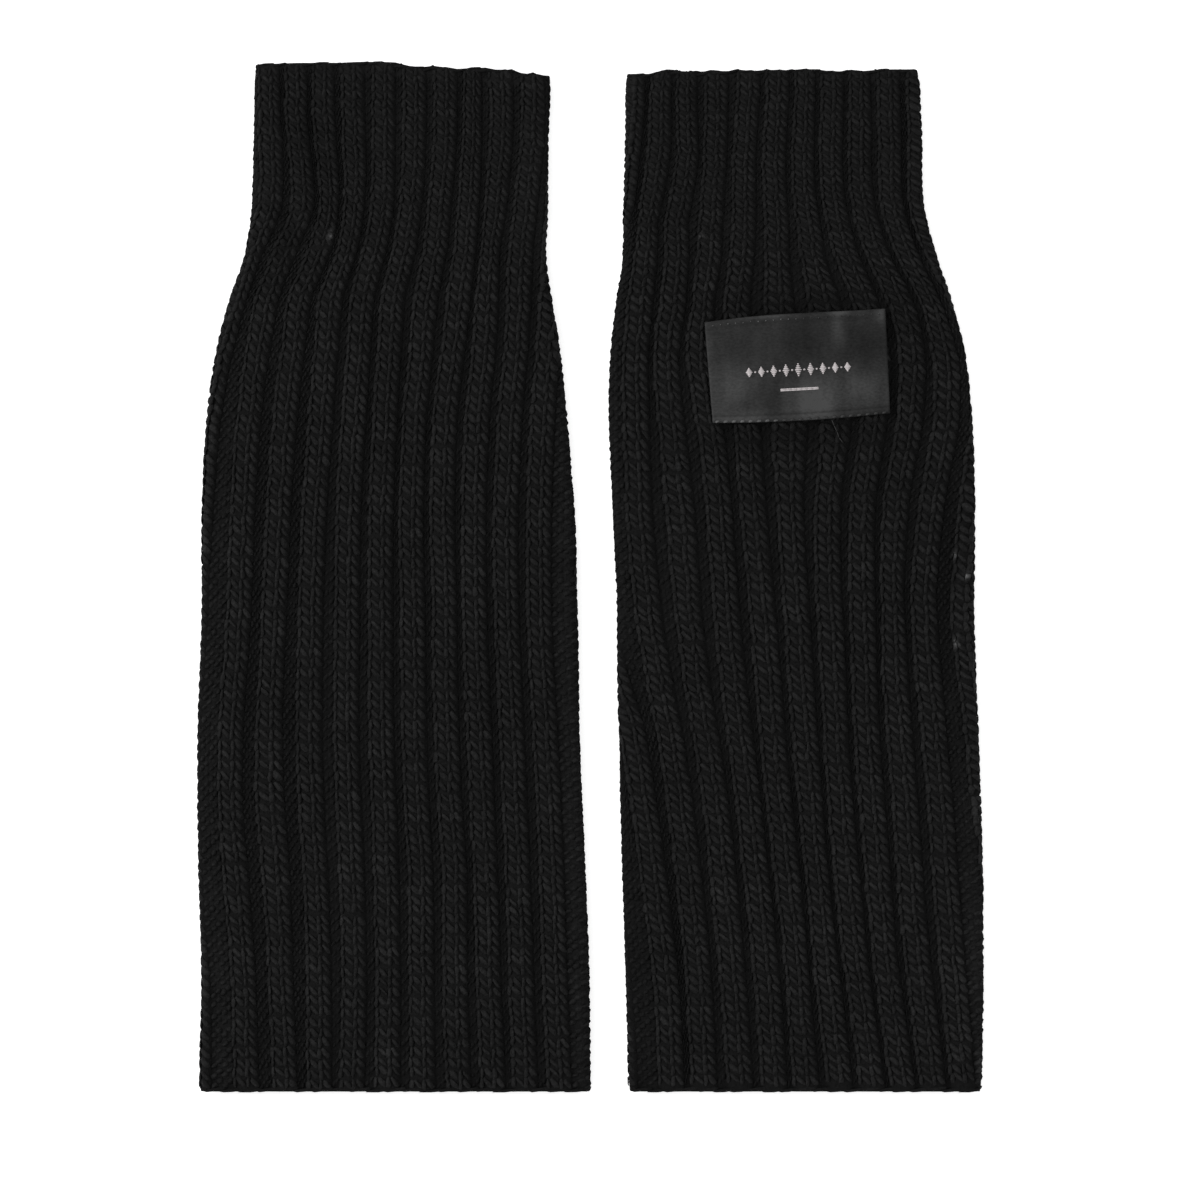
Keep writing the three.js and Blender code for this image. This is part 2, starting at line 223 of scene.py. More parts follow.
# The strands of yarn of one row of stitches. Each starts and ends across, as a share of the width that it
# crosses, and up, in rows. Then come half its width, how high its middle lies on the wall, half its
# thickness and its tone. A rib has two stitches side by side, each with an upright leg and a slanting one.
RIB_STRANDS = (
    (-0.46, -0.56, -0.43, 0.60, 0.72, 0.40, 0.62, 1.02),
    (-0.37, 0.54, 0.01, -0.38, 0.89, 0.34, 0.62, 1.04),
    (0.05, -0.56, 0.08, 0.60, 0.72, 0.38, 0.62, 1.02),
    (0.17, 0.60, 0.46, -0.44, 0.89, 0.26, 0.62, 1.02),
)
# The strands of the furrows and of the strips are painted at less than half the tone of the ribs' strands:
# painted shade in the furrows.
FURROW_STRANDS = (
    (-0.48, -0.56, 0.06, 0.30, 0.78, 0.14, 0.50, 0.43),
    (-0.04, -0.14, 0.50, 0.72, 0.78, 0.14, 0.50, 0.41),
)
STRIP_STRANDS = (
    (-0.54, -0.42, 0.08, 0.06, 0.84, 0.18, 0.48, 0.45),
    (-0.08, 0.02, 0.54, 0.50, 0.84, 0.14, 0.48, 0.40),
)
RIM_STRANDS = ((-0.70, -0.30, 0.70, 0.30, 0.70, 0.10, 0.60, 0.60),)
DIVE = 0.85  # how much lower the ends of a strand lie than its middle
BLUNT = 0.42  # 1 gives a strand pointed ends, and less makes it fuller towards them
FIRST_ROW = 2.4  # below the top edge
LAST_ROW = 1.4  # above the lower hem, at the least
ROW_REACH = 0.3  # how far a strand may pass an edge
RIM_ROW = 2.0
RIM_DEPTH = 0.7
RIM_COUNT = 2 * RIBS

# How far the furrows and the rows sway, over what length, and how much later each does than the one before.
# The rows' sway is in rows.
FURROW_SWAY = (0.25, 17, 2.4)
ROW_SWAY = (0.16, 19, 1.7)

# How unlike each other the stitches are: the most for a whole stitch and for a strand, then the usual
# change for a point. Across is in shares of the width, up in rows and height in millimetres.
ACROSS_CHANGES = (0.03, 0.03, 0.011)
UP_CHANGES = (0.12, 0.10, 0.028)
HEIGHT_CHANGES = (0.10, 0.14, 0.05)
STITCH_TONES = (0.9, 1.1)
DULL_STRAND = 0.80
BRIGHT_STRAND = 0.5  # what the brightest strands add to that
BRIGHT_RARITY = 2.5  # 1 makes all tones between them alike in number, and more makes bright ones fewer

# The tones of the wall, and of the strands over it. The wall is painted darker in the furrows than on the
# ribs, as painted shade, and that painted shade is lifted where furrows are light.
WALL_TONE = 0.42
RIB_SHADE = 0.84  # of the wall on the ribs
FURROW_SHADE = 0.52  # in the furrows
STRIP_SHADE = 1.15  # and in the lightest of them
FURROW_GAIN = 0.9  # how much lighter the strands are in those
# Painted shade: narrow furrows are painted darker and wide ones lighter.
WIDTH_LIGHT = 0.25  # how much darker the narrowest furrows are, and how much lighter the widest
WIDTH_PLAIN = 3.2  # the width of a furrow that is neither
WIDTH_REACH = 1.8  # and how far from it the narrowest and the widest are
# Painted shade is lifted in the shallow furrows of the tight cuff, where the wall is painted lighter and the
# strands a little darker.
CUFF_LIGHT = 0.5  # of the furrows in the tight cuff, where all is more even
CUFF_WALL_GAIN = 0.35  # how much lighter the wall is there
CUFF_STRAND_LOSS = 0.12  # and how much darker the strands are
HEM_TONE = 0.4  # the share of their tone that the strands would keep with no relief
# Painted shade in the creases' troughs, and painted light on their ridges.
CREASE_SHADE = 0.35  # how much darker a trough of 1 mm is

# Where the knit is lighter or darker: the middle across and down, the width, the height, the gain. The
# smallest ones are specks of lint, and the row of four before them is a painted highlight along the edge of a
# small fold. Two more are painted shadows of the label.
PATCHES = {
    "left_leg": [
        (-142, 260, 16, 320, 0.18),
        (-4, 290, 16, 260, 0.15),
        (-75, 330, 180, 160, 0.08),
        (-80, 40, 130, 120, -0.04),
        (-105, 30, 30, 60, -0.10),
        (-96.2, 63.6, 1.4, 1.4, 12.0),
    ],
    "right_leg": [
        (143, 300, 14, 240, 0.30),
        (128, 350, 60, 90, 0.14),
        # Painted shadows of the label, just above and below it.
        (77, 90, 90, 14, -0.25),
        (78, 137, 90, 12, -0.25),
        (75, 330, 180, 160, 0.10),
        (15, 20, 14, 120, 0.10),
        # Painted highlight along the edge of a small fold.
        (140.2, 361.1, 2.4, 5.0, 0.8),
        (141.3, 364.1, 2.4, 5.0, 1.2),
        (142.5, 367.0, 2.4, 5.0, 1.8),
        (143.6, 370.4, 2.4, 5.0, 2.6),
        (134.3, 180.9, 1.6, 2.0, 10.0),
        (138.0, 188.7, 2.0, 1.6, 15.0),
        (134.7, 213.1, 1.6, 3.2, 14.0),
        (40.3, 63.6, 1.3, 1.3, 5.0),
    ],
}


class Sections:
    """The columns of a leg's table at any distance down it, on smooth curves."""

    def __init__(self, leg):
        table = np.array(leg["sections"], float)
        self.downs = table[:, 0]
        self.values = {name: table[:, i] for i, name in enumerate(COLUMNS)}
        self.slopes = {name: np.gradient(v, self.downs) for name, v in self.values.items()}
        self.length = self.downs[-1]
        self.stray_downs = [down for down, strays in leg["strays"]]
        self.strays = np.array([strays for down, strays in leg["strays"]], float)
        self.openings = {k: np.array(rows, float).T for k, rows in leg["openings"].items()}

    def column(self, name, down):
        """One column, as a cubic between the table's rows."""
        i = np.clip(np.searchsorted(self.downs, down) - 1, 0, len(self.downs) - 2)
        step = self.downs[i + 1] - self.downs[i]
        t = np.clip((down - self.downs[i]) / step, 0, 1)
        v, m = self.values[name], self.slopes[name]
        start = (1 + 2 * t) * (1 - t) ** 2 * v[i] + t * (1 - t) ** 2 * step * m[i]
        end = t * t * (3 - 2 * t) * v[i + 1] + t * t * (t - 1) * step * m[i + 1]
        return start + end

    def at(self, down):
        """Every column at these distances, and what follows from them."""
        section = {name: self.column(name, down) for name in COLUMNS[1:]}
        section["middle"] = (section["left"] + section["right"]) / 2
        section["flat"] = (section["right"] - section["left"]) / 2 - EDGE
        section["round"] = 4 * section["flat"] + 2 * math.pi * FOLD_RADIUS
        section["wider"] = {k: np.interp(down, table[0], table[1]) for k, table in self.openings.items()}
        section["lighter"] = {k: np.interp(down, table[0], table[2]) for k, table in self.openings.items()}
        rise = np.minimum(eased(down / HEM_EASE), eased((self.length - down) / LOW_EASE))
        section["relief"] = HEM_RELIEF + (1 - HEM_RELIEF) * rise
        section["tight"] = 1 - eased((down / CUFF_LENGTH - CUFF_HOLD) / CUFF_GIVE)
        section["stray"] = [np.interp(down, self.stray_downs, column) for column in self.strays.T]
        section["down"] = down
        return section


def eased(share):
    """A smooth step from 0 to 1."""
    share = np.clip(share, 0, 1)
    return share * share * (3 - 2 * share)


def furrow_at(section, k):
    """Where furrow k lies, along the cloth from the middle of the upper panel."""
    turns, k = k // RIBS, k % RIBS
    share = np.clip(k / FRONT_RIBS, 0, 1)
    even = section["first"] + (section["last"] - section["first"]) * share
    bowed = even + section["bow"] * 4 * share * (1 - share)
    front = bowed - section["fan"] * np.sin(2 * np.pi * share) - section["middle"]
    hidden = section["round"] - (section["last"] - section["first"]) - sum(section["wider"].values())
    behind = np.maximum(k - FRONT_RIBS, 0) * hidden / (RIBS - FRONT_RIBS)
    opened = sum(width * ((k >= i) & (i > 0)) for i, width in section["wider"].items())
    reach, length, later = FURROW_SWAY
    sway = reach * np.sin(section["down"] / length + later * k)
    stray = sum(np.where(k == i, column, 0) for i, column in enumerate(section["stray"]))
    return front + behind + opened + sway + stray + turns * section["round"]


def furrow_after(section, k):
    """Where the furrow after rib k lies, less what a fold opens it by."""
    opened = sum(width * ((k + 1 - i) % RIBS == 0) for i, width in section["wider"].items())
    return furrow_at(section, k + 1) - opened


def painted_furrow_light(section, k):
    """How light furrow k is painted, up to 1, against the furrows' painted shade. The shallow ones of the
    tight cuff are painted lighter than those below, and wide ones lighter than narrow ones."""
    before, after = furrow_sides(section, k)
    by_width = np.clip((after - before - WIDTH_PLAIN) / WIDTH_REACH, -1, 1)
    light = CUFF_LIGHT * section["tight"] + WIDTH_LIGHT * by_width
    for i, share in section["lighter"].items():
        light = np.where((k - i) % RIBS == 0, np.maximum(light, share), light)
    return light


def rib_at(section, k):
    """Where the middle of rib k lies."""
    return (furrow_at(section, k) + furrow_after(section, k)) / 2


def rib_width(section, k):
    """How wide rib k is. It is stretched or squeezed where its furrows would be too wide or too narrow."""
    pitch = furrow_after(section, k) - furrow_at(section, k)
    return np.clip(section["rib"], pitch - FURROW_MOST, pitch - FURROW_LEAST)


def furrow_sides(section, k):
    """Where the ribs before and after furrow k end."""
    before = rib_at(section, k - 1) + rib_width(section, k - 1) / 2
    after = rib_at(section, k) - rib_width(section, k) / 2
    return before, np.maximum(after, before + FURROW_FLOOR)


def rib_profile(across):
    """The height of a rib as a share of its rise, across its width from -0.5 to 0.5."""
    return np.maximum(0, np.cos(np.clip(across, -0.5, 0.5) * math.pi)) ** RIB_SQUARE


def outside_at(section, along, profile, height):
    """The place of a point of the outside, at a height above the wall. Ribs are pressed flat underneath."""
    wrapped = (along + section["round"] / 2) % section["round"] - section["round"] / 2
    past = np.maximum(0, np.abs(wrapped) - section["flat"])
    turned = np.minimum(past / FOLD_RADIUS, math.pi)
    under = np.maximum(0, past - math.pi * FOLD_RADIUS)
    on_top = (1 + np.cos(turned)) / 2
    profile = profile + (FOLD_FILL - profile) * FOLD_EVEN * np.sin(turned)
    height = height * (1 - FOLD_SINK * np.sin(turned))
    above = section["relief"] * (RIB_RISE * profile + height)
    below = UNDER_RISE * (profile - 1) + PRESSED * (height - 1)
    radius = FOLD_RADIUS + on_top * above + (1 - on_top) * below
    out = np.minimum(np.abs(wrapped), section["flat"]) - under + radius * np.sin(turned)
    x = section["middle"] + np.sign(wrapped) * out
    z = FOLD_RADIUS + radius * np.cos(turned)
    return x, z


def hem_drop(leg, section, x, down):
    """How far the cloth drops below an even top edge: on a parabola through three heights, which fades
    over the cuff, and in the waves of the edge itself."""
    t = (x - section["left"]) / (section["right"] - section["left"])
    left, middle, right = leg["hem"]
    broad = left * (1 - t) * (1 - 2 * t) + middle * 4 * t * (1 - t) + right * t * (2 * t - 1)
    waves = np.interp(x, *zip(*leg["scallops"]))
    return broad * np.clip(1 - down / CUFF_LENGTH, 0, 1) + waves * np.clip(1 - down / SCALLOP_DEPTH, 0, 1)


def patch_gain(leg, x, y):
    """How much lighter the knit is at a place, with lint and some painted shadows and highlights."""
    gain = 1
    for across, down, width, height, more in PATCHES[leg["name"]]:
        gain = gain + more * np.exp(-((x - across) / (width / 2)) ** 2 - ((y + down) / (height / 2)) ** 2)
    return gain


def lift_at(leg, x, y):
    """How far the creases lift the upper panel."""
    lift = 0
    for across, down, turn, length, width, height in CREASES[leg["name"]]:
        a = math.radians(turn)
        dx, dy = x - across, y + down
        along = (dy * math.cos(a) + dx * math.sin(a)) / (length / 2)
        off = (dx * math.cos(a) - dy * math.sin(a)) / (width / 2)
        lift = lift + height * np.exp(-along ** 2 - off ** 2)
    return lift


def settled(leg, section, x, down, z):
    """Places of the frame, in metres, with the creases in and the hems rounded, and their gain in tone:
    painted shade in the creases' troughs and painted light on their ridges, times the patches' gain. Creases
    and patches fade out around the folds."""
    from_hem = np.minimum(down, leg["sections"][-1][0] - down)
    pinch = HEM_PINCH * np.clip(1 - from_hem / HEM_ROUND, 0, 1) ** 2
    z = z + (UNDER_WALL + SLACK / 2 - z) * pinch
    y = -down - hem_drop(leg, section, x, down)
    on_top = np.clip(z / FOLD_RADIUS, 0, 1) ** 2
    gain = 1 + (patch_gain(leg, x, y) - 1) * on_top
    lift = lift_at(leg, x, y)
    z = z + lift * np.clip(z / (2 * FOLD_RADIUS), 0, 1) ** 2
    return in_frame(x, y, z), (1 + CREASE_SHADE * lift) * gain


def in_frame(x, y, z):
    """From millimetres to metres of the frame. The lower hem lies at the low end of the box."""
    middle = (CAD_BOX[0][0] + CAD_BOX[1][0]) / 2
    hem = CAD_BOX[0][1] + LEFT_LEG["sections"][-1][0] * MM
    return np.stack([x * MM + middle, y * MM + hem, np.maximum(z, TABLE_GAP) * MM], axis=-1)


# Materials: a small class for the maths of shaders.
class Socket:
    """A value in a node tree. Sums and products of values add Math nodes."""

    def __init__(self, tree, link):
        self.tree = tree
        self.link = link

    def node(self, kind, settings=(), **inputs):
        """Adds a node with its settings, then its inputs, and returns it."""
        node = self.tree.nodes.new(kind)
        for name, value in dict(settings).items():
            setattr(node, name, value)
        for name, value in inputs.items():
            socket = node.inputs[int(name[1:])] if name[1:].isdigit() else node.inputs[name.replace("_", " ")]
            if isinstance(value, Socket):
                self.tree.links.new(value.link, socket)
            else:
                socket.default_value = value
        return node

    def maths(self, operation, a, b, clamp=False):
        made = self.node("ShaderNodeMath", {"operation": operation, "use_clamp": clamp}, _0=a, _1=b)
        return Socket(self.tree, made.outputs[0])

    def __add__(self, other):
        return self.maths("ADD", self, other)

    def __sub__(self, other):
        return self.maths("SUBTRACT", self, other)

    def __rsub__(self, other):
        return self.maths("SUBTRACT", other, self)

    def __mul__(self, other):
        return self.maths("MULTIPLY", self, other)

    def between(self, low, high):
        """0 below low, 1 above high and straight between them."""
        return self.maths("MULTIPLY", self - low, 1 / (high - low), clamp=True)

    __radd__ = __add__
    __rmul__ = __mul__


def new_material(name):
    """A material with only its Principled shader, and sockets for the place and for the painted tone."""
    material = bpy.data.materials.new(name)
    material.use_nodes = True
    tree = material.node_tree
    shader = tree.nodes["Principled BSDF"]
    start = Socket(tree, None)
    place = Socket(tree, start.node("ShaderNodeTexCoord").outputs["Object"])
    tone = Socket(tree, start.node("ShaderNodeAttribute", {"attribute_name": "tone"}).outputs["Fac"])
    return material, shader, place, tone


def noise(place, scale, detail, stretch=(1, 1, 1)):
    """Soft noise from 0 to 1, with lumps about 1 / scale metres across."""
    mapping = place.node("ShaderNodeMapping", Vector=place, Scale=stretch)
    mapped = Socket(place.tree, mapping.outputs[0])
    made = place.node("ShaderNodeTexNoise", Vector=mapped, Scale=scale, Detail=detail)
    return Socket(place.tree, made.outputs["Fac"])


def coloured(shader, share, dark, light):
    """A base colour between two, by a share from 0 to 1."""
    mix = share.node("ShaderNodeMix", {"data_type": "RGBA"}, _0=share)
    mix.inputs[6].default_value = (*dark, 1)
    mix.inputs[7].default_value = (*light, 1)
    share.tree.links.new(mix.outputs[2], shader.inputs["Base Color"])


def bumped(shader, height, distance, strength):
    """Raises the surface by a height from 0 to 1 times a distance in metres."""
    bump = height.node("ShaderNodeBump", Height=height, Distance=distance, Strength=strength)
    height.tree.links.new(bump.outputs[0], shader.inputs["Normal"])


def surface(shader, roughness, gloss, sheen=0.0):
    """The settings that are the same all over a surface."""
    shader.inputs["Roughness"].default_value = roughness
    shader.inputs["Specular IOR Level"].default_value = gloss
    shader.inputs["Sheen Weight"].default_value = sheen
    shader.inputs["Sheen Roughness"].default_value = 0.5


def yarn_material():
    """Soft black yarn: uneven in tone from stitch to stitch, with fine fibres that break up its gloss. Its
    painted tone also holds painted shade in the furrows and creases, painted shadows of the label and painted
    highlights. The light end of its colour is reached by lint alone."""
    material, shader, place, tone = new_material("black_yarn")
    worn = noise(place, 45, 2)
    fibre = noise(place, 1000, 4).between(0.28, 0.72)
    share = tone * (worn * 0.26 + fibre * 0.46 + 0.12)
    coloured(shader, share.between(0.0, 8.0), (0.0038, 0.0038, 0.0038), (0.1602, 0.1602, 0.1610))
    surface(shader, 0.9, 0.02, 0.006)
    bumped(shader, fibre, 0.0005, 0.7)
    return material


def satin_material():
    """Charcoal satin with fine cross threads and a soft gloss, and painted sheen in soft bands and clouds."""
    material, shader, place, tone = new_material("label_satin")
    # Painted sheen in soft bands along the label and in clouds; the fine threads are the weave.
    sheen_bands = noise(place, 210, 1, (1, 0.2, 1))
    sheen_cloud = noise(place, 120, 2)
    thread = noise(place, 1400, 3, (0.6, 1, 1))
    share = tone * (sheen_bands * 0.30 + sheen_cloud * 0.25 + thread * 0.45)
    coloured(shader, share.between(0.12, 1.0), (0.002, 0.002, 0.002), (0.054, 0.0543, 0.0543))
    surface(shader, 0.5, 0.04)
    bumped(shader, thread, 0.00015, 0.4)
    return material


def thread_material(name, dark, light):
    """Sewing or weaving thread."""
    material, shader, place, tone = new_material(name)
    fibre = noise(place, 3000, 2)
    coloured(shader, (tone * fibre).between(0.1, 0.9), dark, light)
    surface(shader, 0.6, 0.2)
    bumped(shader, fibre, 0.0001, 0.4)
    return material


# Meshes.
def finished(mesh, name, material):
    """Turns a mesh into a piece that rides on the body."""
    mesh.name = name
    mesh.materials.append(material)
    mesh.polygons.foreach_set("use_smooth", [True] * len(mesh.polygons))
    piece = bpy.data.objects.new(name, mesh)
    bpy.context.scene.collection.objects.link(piece)
    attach(piece, "root")
    return piece


def mesh_of(bm):
    """Empties a bmesh into a new mesh."""
    mesh = bpy.data.meshes.new("made")
    bm.to_mesh(mesh)
    bm.free()
    return mesh


def toned(mesh, tones):
    """Stores a tone for every point of a mesh."""
    mesh.attributes.new("tone", "FLOAT", "POINT").data.foreach_set("value", np.ravel(tones))


def tube_skin(bm, columns, rows, place_of):
    """A grid that is bent round into a tube. place_of gives places and tones for its columns and rows."""
    made = bmesh.ops.create_grid(bm, x_segments=columns, y_segments=rows, size=0.5)
    layer = bm.verts.layers.float.get("tone") or bm.verts.layers.float.new("tone")
    verts = list(bm.verts)
    flat = np.array([v.co for v in verts])
    column = np.round((flat[:, 0] + 0.5) * columns).astype(int)
    row = np.round((0.5 - flat[:, 1]) * rows).astype(int)
    places, tones = place_of(column, row)
    for vert, place, tone in zip(verts, places, tones):
        vert.co = place
        vert[layer] = tone
    bmesh.ops.remove_doubles(bm, verts=bm.verts, dist=1e-6)
    bmesh.ops.recalc_face_normals(bm, faces=bm.faces)


# Where the wall's columns of points lie across a rib, from its middle, and across a furrow, as shares.
RIB_POINTS = (-0.5, -0.42, -0.25, 0.0, 0.25, 0.42, 0.5)
FURROW_POINTS = (0.25, 0.5, 0.75)
INNER_POINTS = 24  # across each panel of the plain inside
WALL_STEP = 3.8  # from one row of points to the next


def wall_downs(length, step):
    """Distances down a leg: the rounding of each hem, and even steps between."""
    rounding = np.array(HEM_STEPS)
    inner = np.linspace(rounding[-1], length - rounding[-1], round(length / step))
    return np.concatenate([rounding[:-1], inner, length - rounding[-2::-1]])


def leg_wall(leg, material):
    """The knitted wall of a leg: a ribbed outside and a plain inside, joined at the two hems."""
    sections = Sections(leg)
    downs = wall_downs(sections.length, WALL_STEP)
    points = len(RIB_POINTS) + len(FURROW_POINTS)

    def outer(column, row):
        section = sections.at(downs[row])
        column = column % (RIBS * points)
        k = column // points
        i = column % points
        share = np.array(RIB_POINTS + FURROW_POINTS)[i]
        between_ribs = i >= len(RIB_POINTS)
        start, end = furrow_sides(section, k + 1)
        on_the_rib = rib_at(section, k) + share * rib_width(section, k)
        along = np.where(between_ribs, start + (end - start) * share, on_the_rib)
        profile = np.where(between_ribs, 0, rib_profile(share))
        x, z = outside_at(section, along, profile, 0)
        places, gain = settled(leg, section, x, downs[row], z)
        # Painted shade: the wall in the furrows is painted darker than on the ribs, and lighter in light
        # furrows and in the tight cuff.
        light = between_ribs * painted_furrow_light(section, k + 1)
        shade = FURROW_SHADE + (RIB_SHADE - FURROW_SHADE) * profile + (STRIP_SHADE - FURROW_SHADE) * light
        return places, WALL_TONE * (1 + CUFF_WALL_GAIN * section["tight"]) * shade * gain

    def inner(column, row):
        section = sections.at(downs[row])
        column = column % (2 * INNER_POINTS)
        side = np.where(column < INNER_POINTS, 1, -1)
        share = (column % INNER_POINTS) / (INNER_POINTS - 1)
        half = section["flat"] + FOLD_RADIUS - FOLD_WALL
        x = section["middle"] + side * half * (2 * share - 1)
        z = np.where(side > 0, UNDER_WALL + SLACK, UNDER_WALL)
        places, gain = settled(leg, section, x, downs[row], z)
        return places, WALL_TONE * gain

    bm = bmesh.new()
    tube_skin(bm, RIBS * points, len(downs) - 1, outer)
    within = bmesh.new()
    tube_skin(within, 2 * INNER_POINTS, len(downs) - 1, inner)
    bmesh.ops.reverse_faces(within, faces=within.faces)
    inside = mesh_of(within)
    bm.from_mesh(inside)
    bpy.data.meshes.remove(inside)
    edges = [e for e in bm.edges if e.is_boundary]
    middle = (CAD_BOX[0][1] + CAD_BOX[1][1]) / 2
    for upper in (True, False):
        hem = [e for e in edges if (e.verts[0].co.y > middle) == upper]
        bmesh.ops.bridge_loops(bm, edges=hem)
    piece = finished(mesh_of(bm), leg["name"] + "_wall", material)
    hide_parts(leg["node"])
    return piece


def spindle(bm, strand, unit, segments, rings):
    """A tapered strand of yarn, which rises out of the cloth and dives back into it. The unit says how many
    millimetres one step across and one step up are."""
    made = bmesh.ops.create_uvsphere(bm, u_segments=segments, v_segments=rings, radius=1)
    start = Vector(strand[0:2])
    run = Vector(strand[2:4]) - start
    half_width, crest, half_thickness = strand[4:7]
    line = Vector((run.x * unit[0], run.y * unit[1])).normalized()
    for vert in made["verts"]:
        t = (vert.co.z + 1) / 2
        girth = math.hypot(vert.co.x, vert.co.y)
        fuller = max(girth, 1e-6) ** (BLUNT - 1)
        side = vert.co.x * fuller * half_width
        across = start.x + run.x * t + side * line.y / unit[0]
        up = start.y + run.y * t - side * line.x / unit[1]
        height = crest - DIVE * (2 * t - 1) ** 2 + vert.co.y * fuller * half_thickness
        vert.co = (across, up, height)


def repeated(bm, columns, rows):
    """A mesh repeated over columns and rows by two arrays. Each column's copies come together."""
    mesh = mesh_of(bm)
    single = bpy.data.objects.new("stitch", mesh)
    bpy.context.scene.collection.objects.link(single)
    for label, count in (("rows", rows), ("columns", columns)):
        array = single.modifiers.new(label, "ARRAY")
        array.count = count
        array.use_relative_offset = False
        array.use_constant_offset = True
        array.constant_offset_displace = (0, 0, 0)
    evaluated = single.evaluated_get(bpy.context.evaluated_depsgraph_get())
    field = bpy.data.meshes.new_from_object(evaluated)
    bpy.data.objects.remove(single)
    bpy.data.meshes.remove(mesh)
    return field


def rows_of(sections):
    """The distance down of every row of stitches, from the top edge to the hem."""
    down, rows = FIRST_ROW, []
    while down < sections.length - LAST_ROW:
        rows.append(down)
        down += float(sections.column("row", np.array(down)))
    return np.array(rows)


def stitch_field(leg, name, strands, unit, detail, columns, rows, place_of, seed, material):
    """Covers the columns and rows of a leg with strands, each a little unlike the next."""
    sections = Sections(leg)
    single = bmesh.new()
    for strand in strands:
        spindle(single, strand, unit, *detail)
    bmesh.ops.recalc_face_normals(single, faces=single.faces)
    field = repeated(single, len(columns), len(rows))
    flat = np.zeros(len(field.vertices) * 3)
    field.vertices.foreach_get("co", flat)
    across, up, height = np.moveaxis(flat.reshape(len(columns), len(rows), len(strands), -1, 3), -1, 0)
    draw = np.random.RandomState(seed)
    stitch = across.shape[:2] + (1, 1)
    each = across.shape[:3] + (1,)
    shape = across.shape

    def changed(values, changes):
        by_stitch, by_strand, by_point = changes
        values = values + draw.uniform(-by_stitch, by_stitch, stitch)
        values = values + draw.uniform(-by_strand, by_strand, each)
        return values + draw.normal(0, by_point, shape)

    across = changed(across, ACROSS_CHANGES)
    up = changed(up, UP_CHANGES)
    height = changed(height, HEIGHT_CHANGES)
    bright = DULL_STRAND + BRIGHT_STRAND * draw.uniform(0, 1, each) ** BRIGHT_RARITY
    tone = draw.uniform(*STITCH_TONES, stitch) * bright * np.ones(shape)
    tone = tone * np.array([strand[7] for strand in strands])[None, None, :, None]
    row = rows[None, :, None, None]
    column = np.array(columns)[:, None, None, None]
    pitch = sections.column("row", row) * unit[1] / ROW_HEIGHT
    reach, length, later = ROW_SWAY
    sway = reach * np.sin(row / length + later * column)
    down = np.clip(row - (up + sway) * pitch, -ROW_REACH, sections.length + ROW_REACH)
    section = sections.at(np.clip(down, 0, sections.length))
    (x, z), light = place_of(section, column, across, height)
    places, gain = settled(leg, section, x, down, z)
    field.vertices.foreach_set("co", places.reshape(-1))
    field.update()
    # Painted light: strands in light furrows are painted lighter, and those of the tight cuff a little
    # darker.
    gain = gain * (1 + FURROW_GAIN * light) * (1 - CUFF_STRAND_LOSS * section["tight"])
    toned(field, tone * gain * (HEM_TONE + (1 - HEM_TONE) * section["relief"]))
    return finished(field, name, material)


def on_rib(section, k, across, height):
    """A place on rib k, across it as a share of its width from its middle, and no added painted light."""
    along = rib_at(section, k) + across * rib_width(section, k)
    return outside_at(section, along, rib_profile(across), height), 0


def in_furrow(section, k, across, height):
    """A place in furrow k, across it as a share of its width from its middle, and the furrow's painted light.
    """
    before, after = furrow_sides(section, k)
    along = (before + after) / 2 + across * (after - before)
    return outside_at(section, along, 0, height), painted_furrow_light(section, k)


def in_strip(section, column, across, height):
    """The same on a column of the strip of purl stitches that shows in an opened furrow."""
    k = column // STRIP_COLUMNS
    before, after = furrow_sides(section, k)
    share = (column % STRIP_COLUMNS + 0.5 + across) / STRIP_COLUMNS
    return outside_at(section, before + (after - before) * share, 0.15, height), painted_furrow_light(section, k)


def on_rim(section, i, across, height):
    """A place on the bound-off edge, which is divided evenly round the leg."""
    return outside_at(section, (i + across) * section["round"] / RIM_COUNT, 0.8, height), 0


def leg_warmer(leg, yarn, seed):
    """One leg: its wall, the stitches of its ribs in front and behind, of its furrows and of its edges."""
    wall = leg_wall(leg, yarn)
    front = range(-1, FRONT_RIBS + 1)
    behind = range(FRONT_RIBS + 1, RIBS - 1)
    sections = Sections(leg)
    rows = rows_of(sections)
    rims = np.array([RIM_DEPTH, sections.length - RIM_DEPTH])
    ribbed = (RIB_WIDTH, ROW_HEIGHT)
    furrowed = (FURROW_WIDTH, ROW_HEIGHT)
    rimmed = (RIB_WIDTH / 2, RIM_ROW)
    furrows = [k for k in range(RIBS) if k not in leg["openings"]]
    strips = [k * STRIP_COLUMNS + i for k in leg["openings"] for i in range(STRIP_COLUMNS)]
    for part, strands, unit, detail, columns, downs, place_of in (
        ("front_ribs", RIB_STRANDS, ribbed, (5, 5), front, rows, on_rib),
        ("back_ribs", RIB_STRANDS, ribbed, (4, 3), behind, rows, on_rib),
        ("furrows", FURROW_STRANDS, furrowed, (4, 4), furrows, rows, in_furrow),
        ("purl_strips", STRIP_STRANDS, furrowed, (4, 4), strips, rows, in_strip),
        ("bound_edges", RIM_STRANDS, rimmed, (5, 4), range(RIM_COUNT), rims, on_rim),
    ):
        seed += 1
        name = leg["name"] + "_" + part
        stitch_field(leg, name, strands, unit, detail, columns, downs, place_of, seed, yarn)


